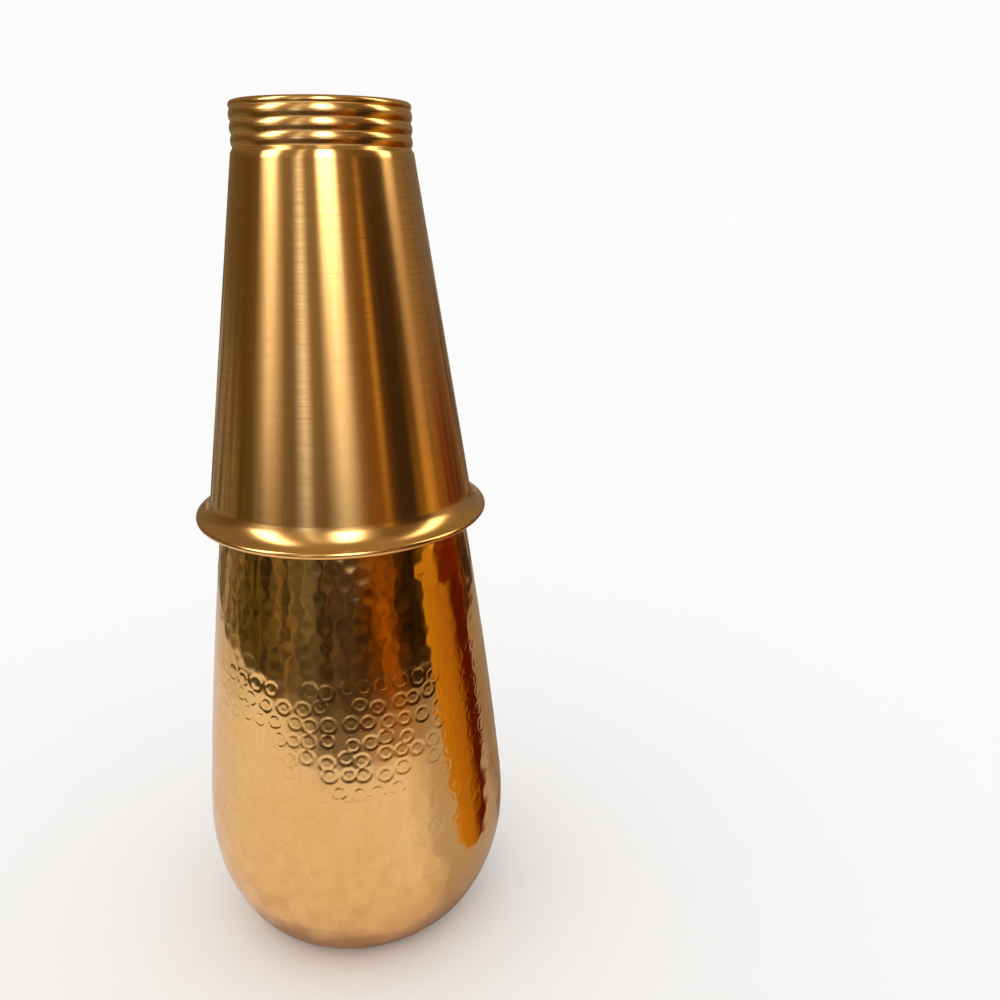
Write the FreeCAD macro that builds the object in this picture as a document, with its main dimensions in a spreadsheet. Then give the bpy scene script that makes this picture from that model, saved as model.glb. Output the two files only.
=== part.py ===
"""Copper water jug with its drinking tumbler turned over the neck as a lid.

Millimetres, +Z up.  The origin is the centre of the flat ring that the jug stands on, and
every piece is turned about the Z axis.
"""
import FreeCAD, Part
import math
import os
import re

import Sketcher

PARTS_FOLDER = "parts"

# ---------------------------------------------------------------- driving dimensions
DIMENSIONS = [
    # jug: lower bowl
    ("jug_sheet", 0.9, "copper sheet of the jug"),
    ("base_ring_inner", 24.4, "inner edge of the flat standing ring"),
    ("base_ring_outer", 27.9, "outer edge of the flat standing ring"),
    ("base_kick", 2.0, "rise of the base inside the standing ring"),
    ("base_corner", 16.8, "radius of the turn from base to side"),
    ("belly_radius", 50.8, "widest outer radius"),
    ("belly_height", 37.9, "height of the widest point"),
    # jug: tapering wall above the belly
    ("turn_radius", 120.0, "radius of the turn from belly to taper"),
    ("turn_angle", 5.6, "degrees the turn leans inward"),
    ("taper_radius", 1900.0, "radius of the long, slightly domed taper"),
    ("seam_height", 69.1, "brazed seam between bowl and shell"),
    ("seam_lap", 6.0, "length of the lap at the seam"),
    ("seam_joggle", 1.5, "height of the step behind the seam"),
    # jug: shoulder, collar and neck
    ("shoulder_height", 153.1, "height where the wall turns into the shoulder"),
    ("shoulder_turn", 4.5, "outer radius of the shoulder"),
    ("collar_fillet", 1.8, "radius between shoulder and collar"),
    ("collar_length", 8.0, "straight length of the shell's collar"),
    ("neck_radius", 29.5, "outer radius of the neck tube"),
    ("neck_tail", 1.0, "neck tube left below the collar"),
    ("mouth_height", 201.1, "top of the jug's rolled rim"),
    ("neck_wire", 0.8, "radius of the wire in the jug's rim"),
    # tumbler
    ("cup_sheet", 0.6, "copper sheet of the tumbler"),
    ("cup_rim_height", 146.1, "height of the tumbler's rim plane on the jug"),
    ("cup_height", 120.4, "height of the tumbler"),
    ("cup_lip_radius", 45.5, "outer radius of the tumbler's rolled lip"),
    ("cup_wire", 0.5, "radius of the wire in the tumbler's lip"),
    ("cup_flare", 8.0, "radius of the flare above the lip"),
    ("cup_flare_end", 63.6, "degrees that the flare leans where it meets the lip"),
    ("cup_taper", 8.47, "degrees that the tumbler's wall leans"),
    ("curl_end", 150.0, "degrees at which a rolled edge stops"),
    ("seat_gap", 0.25, "play between the jug's rim and the tumbler"),
    # tumbler foot
    ("foot_groove_radius", 25.05, "radius at the bottom of a groove"),
    ("foot_bead_pitch", 3.4, "height of one bead"),
    ("foot_bead_radius", 3.4, "radius of a bead's outline"),
    ("foot_roll", 1.2, "radius of the rounded foot"),
    ("foot_roll_centre", 24.2, "radius to the centre of the rounded foot"),
    ("foot_flat", 1.0, "width of the flat ring on the foot"),
    ("foot_inset", 0.7, "sheet left behind a groove"),
    ("foot_step", 1.2, "height of the step between wall and band"),
    ("base_recess", 3.0, "depth of the base disc below the foot"),
    ("base_flange", 1.7, "rise of the disc's flange above its floor"),
    ("base_bend", 0.8, "inner bend radius of the flange"),
]
BEAD_COUNT = 3

doc = FreeCAD.newDocument("copper_water_jug")
sheet = doc.addObject("Spreadsheet::Sheet", "dims")
for row, (alias, number, note) in enumerate(DIMENSIONS, start=1):
    sheet.set(f"A{row}", alias)
    sheet.set(f"B{row}", str(number))
    sheet.setAlias(f"B{row}", alias)
    sheet.set(f"C{row}", note)
doc.recompute()
ALIASES = re.compile(r"\b(" + "|".join(alias for alias, _, _ in DIMENSIONS) + r")\b")


def bind(text):
    """Turn a formula in plain sheet names into an expression on the sheet."""
    return ALIASES.sub(r"dims.\1", text)


def measure(text):
    """The present value of a formula in sheet names."""
    return float(sheet.evalExpression(bind(text)))


# ---------------------------------------------------------------- outlines turned about Z
def arc_between(start, end, radius, side):
    """The shorter arc from start to end; side is +1 with the centre on the left."""
    chord = end - start
    reach = math.sqrt(max(radius ** 2 - (chord.Length / 2) ** 2, 0.0))
    left = FreeCAD.Vector(-chord.y, chord.x, 0).normalize()
    centre = (start + end) / 2 + left * reach * side
    from_angle = math.atan2(start.y - centre.y, start.x - centre.x)
    to_angle = math.atan2(end.y - centre.y, end.x - centre.x)
    if side < 0:
        from_angle, to_angle = to_angle, from_angle
    circle = Part.Circle(centre, FreeCAD.Vector(0, 0, 1), radius)
    return Part.ArcOfCircle(circle, from_angle, to_angle)


def pin_point(sketch, edge, end, across, up):
    """Hold one end of an edge at a radius and a height given as formulas."""
    for kind, text, axis in (("DistanceX", across, -2), ("DistanceY", up, -1)):
        if text == "0":
            sketch.addConstraint(Sketcher.Constraint("PointOnObject", edge, end, axis))
            continue
        index = sketch.addConstraint(Sketcher.Constraint(kind, -1, 1, edge, end, measure(text)))
        sketch.setExpression(f"Constraints[{index}]", bind(text))


def turned_body(label, outline, lift="0"):
    """Revolve a closed outline about Z.

    Each entry of the outline is (radius, height) for a corner reached by a straight edge from
    the corner before, or (radius, height, arc radius, side) for one reached by an arc.
    """
    body = doc.addObject("PartDesign::Body", label)
    body.Label = label
    sketch = body.newObject("Sketcher::SketchObject", label + "_outline")
    plane = next(item for item in body.Origin.OriginFeatures if item.Role == "XZ_Plane")
    sketch.AttachmentSupport = (plane, "")
    sketch.MapMode = "FlatFace"
    corners = [FreeCAD.Vector(measure(entry[0]), measure(entry[1]), 0) for entry in outline]
    ends = []
    for index, entry in enumerate(outline):
        start, end = corners[index - 1], corners[index]
        if len(entry) == 2:
            edge = sketch.addGeometry(Part.LineSegment(start, end))
            ends.append((edge, 1, 2))
            continue
        radius_text, side = entry[2], entry[3]
        edge = sketch.addGeometry(arc_between(start, end, measure(radius_text), side))
        ends.append((edge, 1, 2) if side > 0 else (edge, 2, 1))
        held = sketch.addConstraint(Sketcher.Constraint("Radius", edge, measure(radius_text)))
        sketch.setExpression(f"Constraints[{held}]", bind(radius_text))
    for index, entry in enumerate(outline):
        before, after = ends[index], ends[(index + 1) % len(outline)]
        joint = Sketcher.Constraint("Coincident", before[0], before[2], after[0], after[1])
        sketch.addConstraint(joint)
        pin_point(sketch, before[0], before[2], entry[0], entry[1])
    turn = body.newObject("PartDesign::Revolution", label + "_turned")
    turn.Profile = sketch
    turn.ReferenceAxis = (sketch, ["V_Axis"])
    turn.Angle = 360
    body.Tip = turn
    if lift != "0":
        body.setExpression("Placement.Base.z", bind(lift))
    return body


def ring_wire(label, radius, height, thickness):
    """A round wire bent into a ring about Z."""
    wire = doc.addObject("Part::Torus", label)
    wire.Label = label
    wire.setExpression("Radius1", bind(radius))
    wire.setExpression("Radius2", bind(thickness))
    wire.setExpression("Placement.Base.z", bind(height))
    return wire


# ---------------------------------------------------------------- jug wall: shared formulas
# The side below the belly is one arc, tangent to the base corner and upright at the belly.
SIDE_SPAN = "(belly_radius - base_ring_outer)"
SIDE_RADIUS = (f"(({SIDE_SPAN}^2 + belly_height^2 - 2 * belly_height * base_corner)"
               f" / (2 * ({SIDE_SPAN} - base_corner)))")
SIDE_LEAN = (f"atan2(belly_height - base_corner;"
             f" {SIDE_RADIUS} - {SIDE_SPAN})")
# The taper above the belly is a long arc, tangent to the short turn out of the belly.
TAPER_X = ("(belly_radius - turn_radius"
           " + (turn_radius - taper_radius) * cos(turn_angle))")
TAPER_Z = "(belly_height + (turn_radius - taper_radius) * sin(turn_angle))"


def corner_point(inset):
    """Where the base corner runs into the side, on a skin set inward by inset."""
    reach = f"(base_corner - {inset})"
    return (f"base_ring_outer + {reach} * cos({SIDE_LEAN})",
            f"base_corner - {reach} * sin({SIDE_LEAN})")


def turn_point(inset):
    """Where the turn out of the belly runs into the taper."""
    reach = f"(turn_radius - {inset})"
    return (f"belly_radius - turn_radius + {reach} * cos(turn_angle)",
            f"belly_height + {reach} * sin(turn_angle)")


def taper_point(height, inset):
    """A point of the taper at a height, on a skin set inward by inset."""
    across = f"({TAPER_X} + sqrt((taper_radius - {inset})^2 - ({height} - {TAPER_Z})^2))"
    return across, height


# ---------------------------------------------------------------- jug: bowl
KICK_RADIUS = "((base_ring_inner^2 + base_kick^2) / (2 * base_kick))"
LAP_TOP = "(seam_height + seam_lap)"
STEP_TOP = "(seam_height - seam_joggle)"
STEP_BOTTOM = "(seam_height - 2 * seam_joggle)"
TWO_SHEETS = "(2 * jug_sheet)"

jug_bowl = turned_body("jug_bowl", [
    ("0", "base_kick"),
    ("base_ring_inner", "0", KICK_RADIUS, -1),
    ("base_ring_outer", "0"),
    (*corner_point("0"), "base_corner", 1),
    ("belly_radius", "belly_height", SIDE_RADIUS, 1),
    (*turn_point("0"), "turn_radius", 1),
    (*taper_point("seam_height", "0"), "taper_radius", 1),
    taper_point("seam_height", "jug_sheet"),
    (*taper_point(LAP_TOP, "jug_sheet"), "taper_radius - jug_sheet", 1),
    taper_point(LAP_TOP, TWO_SHEETS),
    (*taper_point(STEP_TOP, TWO_SHEETS), f"taper_radius - {TWO_SHEETS}", -1),
    taper_point(STEP_BOTTOM, "jug_sheet"),
    (*turn_point("jug_sheet"), "taper_radius - jug_sheet", -1),
    ("belly_radius - jug_sheet", "belly_height", "turn_radius - jug_sheet", -1),
    (*corner_point("jug_sheet"), f"{SIDE_RADIUS} - jug_sheet", -1),
    ("base_ring_outer", "jug_sheet", "base_corner - jug_sheet", -1),
    ("base_ring_inner", "jug_sheet"),
    ("0", "base_kick + jug_sheet", KICK_RADIUS, 1),
])

# ---------------------------------------------------------------- jug: shell
SHOULDER_LEAN = f"asin((shoulder_height - {TAPER_Z}) / taper_radius)"
SHOULDER_X = f"({TAPER_X} + (taper_radius - shoulder_turn) * cos({SHOULDER_LEAN}))"
SHOULDER_Z = f"({TAPER_Z} + (taper_radius - shoulder_turn) * sin({SHOULDER_LEAN}))"
SHOULDER_TOP = f"({SHOULDER_Z} + shoulder_turn)"
COLLAR_RADIUS = "(neck_radius + jug_sheet)"
COLLAR_FOOT = f"({SHOULDER_TOP} + collar_fillet)"
COLLAR_TOP = f"({COLLAR_FOOT} + collar_length)"


def shoulder_point(inset):
    """Where the taper runs into the shoulder, on a skin set inward by inset."""
    reach = f"(shoulder_turn - {inset})"
    return (f"{SHOULDER_X} + {reach} * cos({SHOULDER_LEAN})",
            f"{SHOULDER_Z} + {reach} * sin({SHOULDER_LEAN})")


jug_shell = turned_body("jug_shell", [
    (*taper_point("seam_height", "jug_sheet"), "taper_radius - jug_sheet", -1),
    taper_point("seam_height", "0"),
    (*shoulder_point("0"), "taper_radius", 1),
    (SHOULDER_X, SHOULDER_TOP, "shoulder_turn", 1),
    (f"{COLLAR_RADIUS} + collar_fillet", SHOULDER_TOP),
    (COLLAR_RADIUS, COLLAR_FOOT, "collar_fillet", -1),
    (COLLAR_RADIUS, COLLAR_TOP),
    ("neck_radius", COLLAR_TOP),
    ("neck_radius", COLLAR_FOOT),
    (f"{COLLAR_RADIUS} + collar_fillet", f"{SHOULDER_TOP} - jug_sheet",
     "collar_fillet + jug_sheet", 1),
    (SHOULDER_X, f"{SHOULDER_TOP} - jug_sheet"),
    (*shoulder_point("jug_sheet"), "shoulder_turn - jug_sheet", -1),
])

# ---------------------------------------------------------------- tumbler: shared formulas
CUP_BEAD = "(cup_wire + cup_sheet)"
CUP_LIP_X = f"(cup_lip_radius - {CUP_BEAD})"
FLARE_X = f"({CUP_LIP_X} + (cup_flare + {CUP_BEAD}) * cos(cup_flare_end))"
FLARE_Z = f"({CUP_BEAD} + (cup_flare + {CUP_BEAD}) * sin(cup_flare_end))"


def flare_point(reach):
    """Where the flare, at this distance from its centre, runs into the straight wall."""
    return (f"({FLARE_X} - {reach} * cos(cup_taper))",
            f"({FLARE_Z} - {reach} * sin(cup_taper))")


def lip_point(reach, turn, sign="+"):
    """A point on the rolled lip, this far from the wire's centre."""
    return (f"({CUP_LIP_X} + {reach} * cos({turn}))",
            f"({CUP_BEAD} {sign} {reach} * sin({turn}))")


def cup_wall_radius(height, reach):
    """The straight wall's radius at a height above the rim plane."""
    across, up = flare_point(reach)
    return f"({across} - ({height} - {up}) * tan(cup_taper))"


# ---------------------------------------------------------------- tumbler: wall
FOOT_ROLL_Z = "(cup_height - foot_roll)"
TOP_GROOVE = (f"({FOOT_ROLL_Z}"
              " - sqrt(foot_roll^2 - (foot_groove_radius - foot_roll_centre)^2))")
BAND_EDGE = f"({TOP_GROOVE} - {BEAD_COUNT} * foot_bead_pitch)"
WALL_EDGE = f"({BAND_EDGE} - foot_step)"
FOOT_INNER = "(foot_groove_radius - foot_inset)"
ROLL_INNER = "(foot_roll - cup_sheet)"
OUTER_SKIN = "cup_flare"
INNER_SKIN = "(cup_flare + cup_sheet)"

foot_beads = [
    ("foot_groove_radius", f"{TOP_GROOVE} - {bead} * foot_bead_pitch", "foot_bead_radius", -1)
    for bead in range(1, BEAD_COUNT + 1)
]
tumbler_wall = turned_body("tumbler_wall", [
    lip_point("cup_wire", "curl_end", "-"),
    (f"{CUP_LIP_X} + cup_wire", CUP_BEAD, "cup_wire", 1),
    (*lip_point("cup_wire", "cup_flare_end"), "cup_wire", 1),
    (*flare_point(INNER_SKIN), INNER_SKIN, -1),
    (cup_wall_radius(WALL_EDGE, INNER_SKIN), WALL_EDGE),
    (FOOT_INNER, BAND_EDGE),
    (FOOT_INNER, f"{FOOT_ROLL_Z} + sqrt({ROLL_INNER}^2 - ({FOOT_INNER} - foot_roll_centre)^2)"),
    ("foot_roll_centre", "cup_height - cup_sheet", ROLL_INNER, 1),
    ("foot_roll_centre - foot_flat", "cup_height - cup_sheet"),
    ("foot_roll_centre - foot_flat", "cup_height"),
    ("foot_roll_centre", "cup_height"),
    ("foot_groove_radius", TOP_GROOVE, "foot_roll", -1),
    *foot_beads,
    (cup_wall_radius(WALL_EDGE, OUTER_SKIN), WALL_EDGE),
    flare_point(OUTER_SKIN),
    (*lip_point(CUP_BEAD, "cup_flare_end"), OUTER_SKIN, 1),
    ("cup_lip_radius", CUP_BEAD, CUP_BEAD, -1),
    (CUP_LIP_X, "0", CUP_BEAD, -1),
    (*lip_point(CUP_BEAD, "curl_end", "-"), CUP_BEAD, -1),
], lift="cup_rim_height")

# ---------------------------------------------------------------- tumbler: base and lip wire
PLATE_TOP = "(cup_height - base_recess)"
PLATE_BOTTOM = f"({PLATE_TOP} - cup_sheet)"
FLANGE_TOP = f"({PLATE_TOP} + base_flange)"
OUTER_BEND = "(base_bend + cup_sheet)"

tumbler_base = turned_body("tumbler_base", [
    ("0", PLATE_BOTTOM),
    (f"{FOOT_INNER} - {OUTER_BEND}", PLATE_BOTTOM),
    (FOOT_INNER, f"{PLATE_BOTTOM} + {OUTER_BEND}", OUTER_BEND, 1),
    (FOOT_INNER, FLANGE_TOP),
    (f"{FOOT_INNER} - cup_sheet", FLANGE_TOP),
    (f"{FOOT_INNER} - cup_sheet", f"{PLATE_TOP} + base_bend"),
    (f"{FOOT_INNER} - {OUTER_BEND}", PLATE_TOP, "base_bend", -1),
    ("0", PLATE_TOP),
], lift="cup_rim_height")

tumbler_lip_wire = ring_wire(
    "tumbler_lip_wire", CUP_LIP_X, f"cup_rim_height + {CUP_BEAD}", "cup_wire")

# ---------------------------------------------------------------- jug: neck and rim wire
# The rolled rim is as wide as the tumbler is inside at that height, less the play.
NECK_BEAD = "(neck_wire + jug_sheet)"
NECK_WIRE_Z = f"(mouth_height - {NECK_BEAD})"
SEAT_RADIUS = cup_wall_radius(f"({NECK_WIRE_Z} - cup_rim_height)", INNER_SKIN)
NECK_LIP_X = f"({SEAT_RADIUS} - ({NECK_BEAD} + seat_gap) / cos(cup_taper))"
NECK_FLARE = f"({NECK_LIP_X} - neck_radius)"
NECK_FLARE_Z = f"(mouth_height - jug_sheet - {NECK_FLARE})"
NECK_FOOT = f"({COLLAR_FOOT} - neck_tail)"
NECK_INNER = "(neck_radius - jug_sheet)"

jug_neck = turned_body("jug_neck", [
    ("neck_radius", NECK_FOOT),
    ("neck_radius", NECK_FLARE_Z),
    (NECK_LIP_X, "mouth_height - jug_sheet", NECK_FLARE, -1),
    (f"{NECK_LIP_X} + neck_wire", NECK_WIRE_Z, "neck_wire", -1),
    (f"{NECK_LIP_X} + neck_wire * cos(curl_end)", f"{NECK_WIRE_Z} - neck_wire * sin(curl_end)",
     "neck_wire", -1),
    (f"{NECK_LIP_X} + {NECK_BEAD} * cos(curl_end)",
     f"{NECK_WIRE_Z} - {NECK_BEAD} * sin(curl_end)"),
    (f"{NECK_LIP_X} + {NECK_BEAD}", NECK_WIRE_Z, NECK_BEAD, 1),
    (NECK_LIP_X, "mouth_height", NECK_BEAD, 1),
    (NECK_INNER, NECK_FLARE_Z, f"{NECK_FLARE} + jug_sheet", 1),
    (NECK_INNER, NECK_FOOT),
])

neck_rim_wire = ring_wire("neck_rim_wire", NECK_LIP_X, NECK_WIRE_Z, "neck_wire")

# ---------------------------------------------------------------- check and write
doc.recompute()
pieces = [jug_bowl, jug_shell, jug_neck, neck_rim_wire,
          tumbler_wall, tumbler_base, tumbler_lip_wire]
for item in doc.Objects:
    if "Invalid" in item.State or "Error" in item.State:
        raise RuntimeError(f"{item.Label} did not build: {item.State}")
for piece in pieces:
    if piece.Shape.isNull() or not piece.Shape.isValid() or len(piece.Shape.Solids) != 1:
        raise RuntimeError(f"{piece.Label} is not one valid solid")

os.makedirs(PARTS_FOLDER, exist_ok=True)
for piece in pieces:
    piece.Shape.exportStep(f"{PARTS_FOLDER}/{piece.Label}.step")
    box = piece.Shape.BoundBox
    print(f"{piece.Label}: z {box.ZMin:.2f} to {box.ZMax:.2f}, radius {box.XMax:.2f},"
          f" volume {piece.Shape.Volume:.0f}")
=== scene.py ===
"""Looks of the hammered copper jug and its brushed tumbler lid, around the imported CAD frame.

Metres, in the row frame: +Z up, the origin under the centre of the jug's base.  Every piece is
turned about Z, so an outline is a list of (radius, height) points.
"""
import math

import bmesh
import bpy
import numpy as np
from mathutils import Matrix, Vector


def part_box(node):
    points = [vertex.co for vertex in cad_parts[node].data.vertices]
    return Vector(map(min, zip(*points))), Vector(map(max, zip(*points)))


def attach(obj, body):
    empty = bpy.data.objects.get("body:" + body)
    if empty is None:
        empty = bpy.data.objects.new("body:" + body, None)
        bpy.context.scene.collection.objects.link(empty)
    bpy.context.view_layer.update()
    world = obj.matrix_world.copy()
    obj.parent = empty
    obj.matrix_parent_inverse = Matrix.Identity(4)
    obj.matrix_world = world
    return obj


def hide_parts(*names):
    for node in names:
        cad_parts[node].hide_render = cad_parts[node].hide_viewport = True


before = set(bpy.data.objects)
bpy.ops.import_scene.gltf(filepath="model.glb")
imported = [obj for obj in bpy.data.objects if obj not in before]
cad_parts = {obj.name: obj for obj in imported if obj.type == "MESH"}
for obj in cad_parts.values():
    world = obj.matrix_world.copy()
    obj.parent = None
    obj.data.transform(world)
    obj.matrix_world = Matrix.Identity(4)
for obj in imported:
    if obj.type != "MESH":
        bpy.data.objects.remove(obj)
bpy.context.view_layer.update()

MM = 0.001
SEED = 11

# ------------------------------------------------------------------ sizes, from the frame
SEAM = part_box("jug_shell")[0][2]
LAP_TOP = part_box("jug_bowl")[1][2]
BELLY_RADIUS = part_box("jug_bowl")[1][0]
COLLAR_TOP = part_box("jug_shell")[1][2]
NECK_FOOT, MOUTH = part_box("jug_neck")[0][2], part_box("jug_neck")[1][2]
NECK_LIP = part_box("jug_neck")[1][0]
RIM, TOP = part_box("tumbler_wall")[0][2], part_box("tumbler_wall")[1][2]
CUP_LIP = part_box("tumbler_wall")[1][0]
PLATE_BOTTOM, FLANGE_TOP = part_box("tumbler_base")[0][2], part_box("tumbler_base")[1][2]
FOOT_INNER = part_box("tumbler_base")[1][0]

# the same sheet, arcs and angles as the CAD pieces
JUG_SHEET = 0.9 * MM
RING_INNER, RING_OUTER, KICK = 24.4 * MM, 27.9 * MM, 2.0 * MM
BASE_CORNER, BELLY_HEIGHT = 16.8 * MM, 37.9 * MM
TURN_RADIUS, TURN_ANGLE, TAPER_RADIUS = 120.0 * MM, math.radians(5.6), 1900.0 * MM
SHOULDER, SHOULDER_TURN, COLLAR_FILLET = 153.1 * MM, 4.5 * MM, 1.8 * MM
JOGGLE = 1.5 * MM
NECK_RADIUS, NECK_WIRE = 29.5 * MM, 0.8 * MM
CUP_SHEET, CUP_WIRE, CUP_FLARE = 0.6 * MM, 0.5 * MM, 8.0 * MM
CUP_TAPER, FLARE_END = math.radians(8.47), math.radians(63.6)
CURL_END = math.radians(150)
FOOT_ROLL, FOOT_ROLL_X, FOOT_FLAT = 1.2 * MM, 24.2 * MM, 1.0 * MM
GROOVE, BEAD_PITCH, BEAD_RADIUS, BEAD_COUNT = 25.05 * MM, 3.4 * MM, 3.4 * MM, 3
FOOT_STEP, BASE_BEND = 1.2 * MM, 0.8 * MM
SLIP = 0.02 * MM                 # clearance between skins that touch

# how the meshes are made
SHARP_EDGE = math.radians(50)    # edges that turn more than this stay sharp
SEGMENTS = 640                   # round the hammered skins
NECK_SEGMENTS, CUP_SEGMENTS, DISC_SEGMENTS = 240, 300, 200
SAME_POINT, ON_AXIS = 0.005 * MM, 0.001 * MM     # distances that count as none


# ------------------------------------------------------------------ outlines
def arc(across, up, radius, start, end, step=0.5 * MM, fewest=6):
    """Points of an arc about (across, up), angles in radians, evenly spaced."""
    count = max(fewest, math.ceil(radius * abs(end - start) / step))
    angles = np.linspace(start, end, count + 1)
    return [(across + radius * math.cos(a), up + radius * math.sin(a)) for a in angles]


def line(first, last, step=1.0 * MM):
    """Points from first to last, evenly spaced."""
    count = max(1, math.ceil(math.dist(first, last) / step))
    return [(first[0] + (last[0] - first[0]) * i / count,
             first[1] + (last[1] - first[1]) * i / count) for i in range(count + 1)]


def bulge(first, last, radius, step=0.25 * MM):
    """The arc from first down to last that bows away from the axis."""
    half = math.dist(first, last) / 2
    along = ((last[0] - first[0]) / (2 * half), (last[1] - first[1]) / (2 * half))
    reach = math.sqrt(radius ** 2 - half ** 2)
    across = (first[0] + last[0]) / 2 + along[1] * reach
    up = (first[1] + last[1]) / 2 - along[0] * reach
    start = math.atan2(first[1] - up, first[0] - across)
    end = math.atan2(last[1] - up, last[0] - across)
    return arc(across, up, radius, start, end, step)


def join(*runs):
    """One outline from several runs of points, with doubled points dropped."""
    points = []
    for run in runs:
        for point in run:
            if not points or math.dist(points[-1], point) > SAME_POINT:
                points.append(point)
    return points


# ------------------------------------------------------------------ meshes
def add_ring(vertices, point, segments):
    """Append one ring of vertices, or a single pole on the axis; returns their indices."""
    first = len(vertices)
    across, up = point
    if across < ON_AXIS:
        vertices.append((0.0, 0.0, up))
        return [first]
    for i in range(segments):
        angle = 2 * math.pi * i / segments
        vertices.append((across * math.cos(angle), across * math.sin(angle), up))
    return list(range(first, first + segments))


def bridge(faces, ring, other):
    """Faces between two rings; one may be a pole or have several times the vertices."""
    if len(ring) < len(other):
        ring, other = other, ring
    fine, coarse = len(ring), len(other)
    if coarse == 1:
        faces.extend([ring[i], other[0], ring[(i + 1) % fine]] for i in range(fine))
        return
    ratio = fine // coarse
    for i in range(coarse):
        edge = [ring[(i * ratio + k) % fine] for k in range(ratio + 1)]
        faces.append([*edge, other[(i + 1) % coarse], other[i]])


def close_rings(vertices, rings):
    """Faces of a closed shell whose outline runs through all the rings and back."""
    faces = []
    for index, ring in enumerate(rings):
        other = rings[(index + 1) % len(rings)]
        if len(ring) > 1 or len(other) > 1:
            bridge(faces, ring, other)
    return faces


def new_piece(name, vertices, faces, body, node):
    """A smooth-shaded closed mesh that rides on a body and stands for its CAD node."""
    mesh = bpy.data.meshes.new(name)
    mesh.from_pydata(vertices, [], faces)
    shape = bmesh.new()
    shape.from_mesh(mesh)
    bmesh.ops.recalc_face_normals(shape, faces=shape.faces)
    shape.to_mesh(mesh)
    shape.free()
    mesh.shade_smooth()
    mesh.set_sharp_from_angle(angle=SHARP_EDGE)
    piece = bpy.data.objects.new(name, mesh)
    bpy.context.collection.objects.link(piece)
    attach(piece, body)
    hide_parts(node)
    return piece


def turned_piece(name, outline, segments, body, node):
    """A piece turned from one closed outline."""
    vertices = []
    rings = [add_ring(vertices, point, segments) for point in outline]
    return new_piece(name, vertices, close_rings(vertices, rings), body, node)


def hammered_piece(name, grid, back, body, node, coarser=4):
    """A piece with a fine grid as its outer skin and a coarser turned outline behind it.

    grid is rows x segments x 3, going up; back runs from the grid's last row to its first.
    """
    rows, segments = grid.shape[:2]
    vertices = [tuple(point) for point in grid.reshape(-1, 3).tolist()]
    rings = [list(range(row * segments, (row + 1) * segments)) for row in range(rows)]
    rings += [add_ring(vertices, point, segments // coarser) for point in back]
    return new_piece(name, vertices, close_rings(vertices, rings), body, node)


# ------------------------------------------------------------------ jug wall
SIDE_SPAN = BELLY_RADIUS - RING_OUTER
SIDE_RADIUS = ((SIDE_SPAN ** 2 + BELLY_HEIGHT ** 2 - 2 * BELLY_HEIGHT * BASE_CORNER)
               / (2 * (SIDE_SPAN - BASE_CORNER)))
SIDE_LEAN = math.atan2(BELLY_HEIGHT - BASE_CORNER, SIDE_RADIUS - SIDE_SPAN)
TAPER_X = BELLY_RADIUS - TURN_RADIUS + (TURN_RADIUS - TAPER_RADIUS) * math.cos(TURN_ANGLE)
TAPER_Z = BELLY_HEIGHT + (TURN_RADIUS - TAPER_RADIUS) * math.sin(TURN_ANGLE)
TURN_TOP = BELLY_HEIGHT + TURN_RADIUS * math.sin(TURN_ANGLE)
KICK_RADIUS = (RING_INNER ** 2 + KICK ** 2) / (2 * KICK)
SHOULDER_LEAN = math.asin((SHOULDER - TAPER_Z) / TAPER_RADIUS)
SHOULDER_X = TAPER_X + (TAPER_RADIUS - SHOULDER_TURN) * math.cos(SHOULDER_LEAN)
SHOULDER_Z = TAPER_Z + (TAPER_RADIUS - SHOULDER_TURN) * math.sin(SHOULDER_LEAN)
SHOULDER_TOP = SHOULDER_Z + SHOULDER_TURN
COLLAR_RADIUS = NECK_RADIUS + JUG_SHEET
COLLAR_FOOT = SHOULDER_TOP + COLLAR_FILLET


def taper_run(low, high, inset, step):
    """The long taper between two heights, going up, on a skin set inward by inset."""
    reach = TAPER_RADIUS - inset
    start = math.asin((low - TAPER_Z) / reach)
    end = math.asin((high - TAPER_Z) / reach)
    return arc(TAPER_X, TAPER_Z, reach, start, end, step, fewest=1)


def bowl_run(high, inset, step):
    """From the standing ring round the corner, up the side and on to the taper."""
    corner = BASE_CORNER - inset
    return join(
        arc(RING_OUTER, BASE_CORNER, corner, -math.pi / 2, -SIDE_LEAN, step),
        arc(BELLY_RADIUS - SIDE_RADIUS, BELLY_HEIGHT, SIDE_RADIUS - inset, -SIDE_LEAN, 0, step),
        arc(BELLY_RADIUS - TURN_RADIUS, BELLY_HEIGHT, TURN_RADIUS - inset, 0, TURN_ANGLE, step),
        taper_run(TURN_TOP, high, inset, step),
    )


def kick_run(inset, step):
    """The shallow dome inside the standing ring, from the axis outward."""
    span = math.asin(RING_INNER / KICK_RADIUS)
    dome = arc(0, KICK - KICK_RADIUS + inset, KICK_RADIUS, math.pi / 2, math.pi / 2 - span, step)
    return [(0.0, dome[0][1]), *dome[1:]]


# the jug's whole outer wall, for its radius at any height
WALL = np.array(bowl_run(SHOULDER, 0, step=0.5 * MM))


# ------------------------------------------------------------------ hammer marks
RING_WIDTH = 0.55 * MM           # of the groove round a sharp mark
SNAP = 0.45                      # grid points within this part of a cell of a rim slide on to it
EDGE_CALM = 0.8 * MM             # marks fade out over this distance from a skin's edges
EDGE_ROUND = 0.7 * MM            # and the edges turn inward over this one
# slow waves over the skin: depth, turns round the jug, length up it
SWELLS = [(0.06 * MM, 5, 14 * MM), (0.03 * MM, 13, 6 * MM), (0.012 * MM, 37, 2.6 * MM)]
CRISP_TOP = 106 * MM             # the shell's grid is fine below, for its sharp marks

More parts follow.
